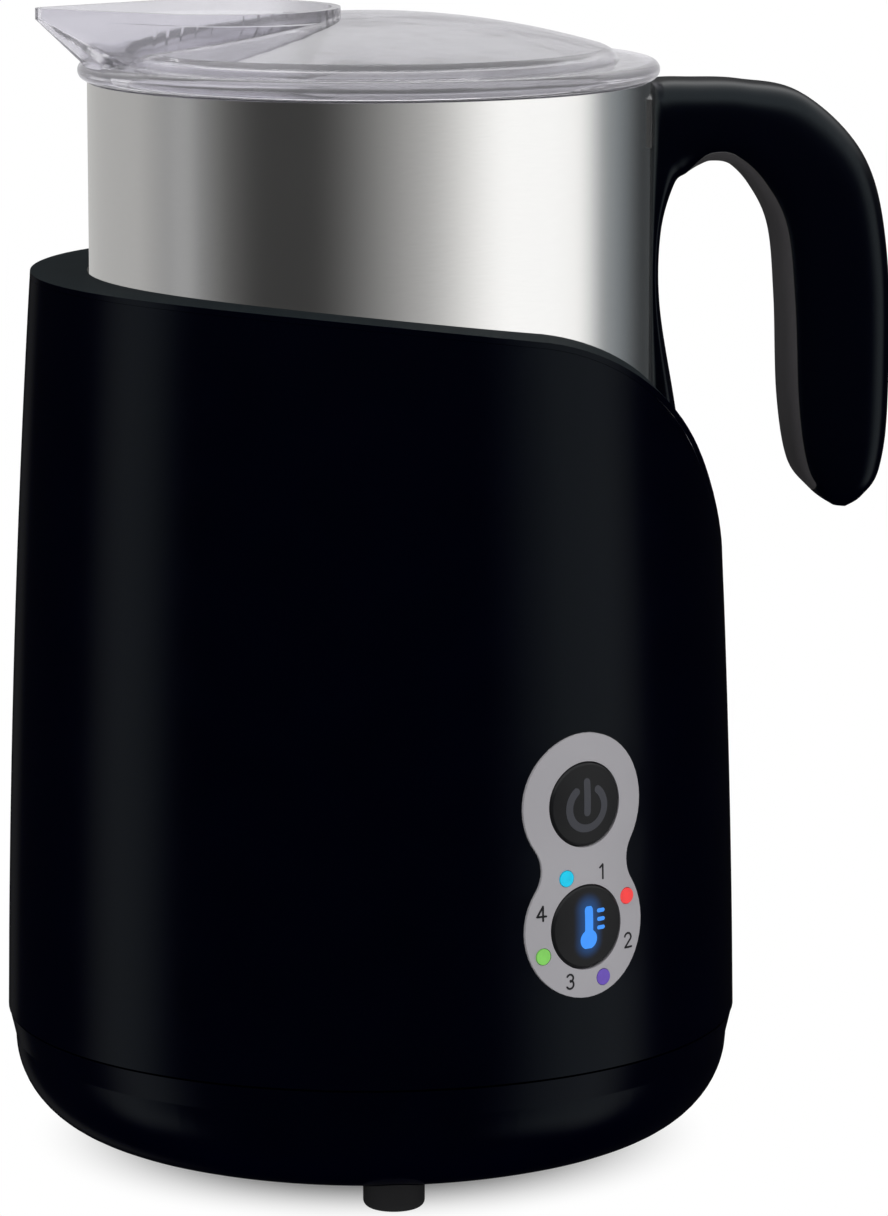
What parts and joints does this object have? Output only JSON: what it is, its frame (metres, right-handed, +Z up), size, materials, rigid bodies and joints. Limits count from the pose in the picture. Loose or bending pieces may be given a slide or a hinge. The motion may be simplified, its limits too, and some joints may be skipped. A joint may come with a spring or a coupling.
{
  "type": "milk frother",
  "caption": "Induction milk frother: barrel base with a slanted rim and two-button panel, lift-out steel jug with hook handle, clear lid with a boat-shaped spout and a magnetic whisk.",
  "frame": {"origin": "on the table, at the middle of the box round base unit and handle; the jug's axis is 13.6 mm towards -X", "axes": "+Z up, +X towards the handle, -Y is the front, with the control panel at the front right"},
  "size_m": [0.1595, 0.1322, 0.2056],
  "materials": {
    "gloss_black": "high gloss black moulding",
    "matt_black": "fine matt texture",
    "rubber_black": "soft matt rubber",
    "screw_steel": "zinc plated",
    "silver_plate": "satin silver paint",
    "lens_red": "tinted translucent",
    "lens_cyan": "tinted translucent",
    "lens_green": "tinted translucent",
    "lens_violet": "tinted translucent",
    "circuit_board": "solder mask",
    "switch_body": "moulded",
    "led_resin": "cast resin",
    "button_black": "satin gloss black",
    "ivory_plastic": "moulded",
    "transformer_wrap": "taped winding",
    "capacitor_sleeve": "shrink sleeve",
    "relay_case": "moulded case",
    "plain_aluminium": "extruded",
    "litz_copper": "enamelled copper wire",
    "ferrite": "sintered",
    "satin_steel": "satin brushed stainless steel",
    "motor_steel": "drawn can",
    "magnet_nickel": "nickel plated",
    "clear_plastic": "clear moulded plastic",
    "silicone": "translucent silicone"
  },
  "bodies": {
    "base": {"outer_shell": "gloss_black", "jug_well": "matt_black", "bottom_tray": "gloss_black", "foot_front": "rubber_black", "foot_right": "rubber_black", "foot_left": "rubber_black", "tray_screws": "screw_steel", "cord_bush": "rubber_black", "control_plate": "silver_plate", "lamp_red": "lens_red", "lamp_cyan": "lens_cyan", "lamp_green": "lens_green", "lamp_violet": "lens_violet", "control_board": "circuit_board", "board_screws": "screw_steel", "power_switch": "switch_body", "mode_switch": "switch_body", "indicator_leds": "led_resin", "main_board": "circuit_board", "board_posts": "screw_steel", "transformer": "transformer_wrap", "filter_capacitors": "capacitor_sleeve", "relay": "relay_case", "heat_sink": "plain_aluminium", "power_transistor": "matt_black", "terminal_block": "ivory_plastic", "coil_former": "ivory_plastic", "former_screws": "screw_steel", "induction_coil": "litz_copper", "ferrite_bars": "ferrite", "temperature_sensor": "satin_steel", "motor": "motor_steel", "motor_bracket": "screw_steel", "motor_screws": "screw_steel"},
    "power_key": {"power_button": "button_black", "power_plunger": "ivory_plastic"},
    "mode_key": {"mode_button": "button_black", "mode_plunger": "ivory_plastic"},
    "rotor": {"drive_shaft": "satin_steel", "magnet_carrier": "ivory_plastic", "drive_magnets": "magnet_nickel"},
    "jug": {"jug_shell": "satin_steel", "whisk_spindle": "satin_steel", "upper_bracket": "satin_steel", "lower_bracket": "satin_steel", "handle": "gloss_black", "grip_cover": "matt_black", "handle_screw": "screw_steel"},
    "whisk": {"whisk_hub": "matt_black", "whisk_magnets": "magnet_nickel", "frothing_coil": "satin_steel"},
    "lid": {"lid": "clear_plastic", "lid_seal": "silicone"}
  },
  "joints": [
    {"name": "jug_lift", "type": "slide", "parent": "base", "child": "jug", "axis": [0, 0, 1], "range_m": [0, 0.085]},
    {"name": "lid_lift", "type": "slide", "parent": "jug", "child": "lid", "axis": [0, 0, 1], "range_m": [0, 0.03]},
    {"name": "power_press", "type": "slide", "parent": "base", "child": "power_key", "axis": [-0.5, 0.866, 0], "range_m": [0, 0.0008], "stiffness_N_per_m": 1200},
    {"name": "mode_press", "type": "slide", "parent": "base", "child": "mode_key", "axis": [-0.5, 0.866, 0], "range_m": [0, 0.0008], "stiffness_N_per_m": 1200},
    {"name": "rotor_spin", "type": "hinge", "parent": "base", "child": "rotor", "pos_m": [-0.01359, 0, 0], "axis": [0, 0, 1], "continuous": true},
    {"name": "whisk_spin", "type": "hinge", "parent": "jug", "child": "whisk", "pos_m": [-0.01359, 0, 0.0921], "axis": [0, 0, 1], "continuous": true}
  ],
  "couplings": [
    {"joint": "whisk_spin", "follows": "rotor_spin", "ratio": 1}
  ]
}
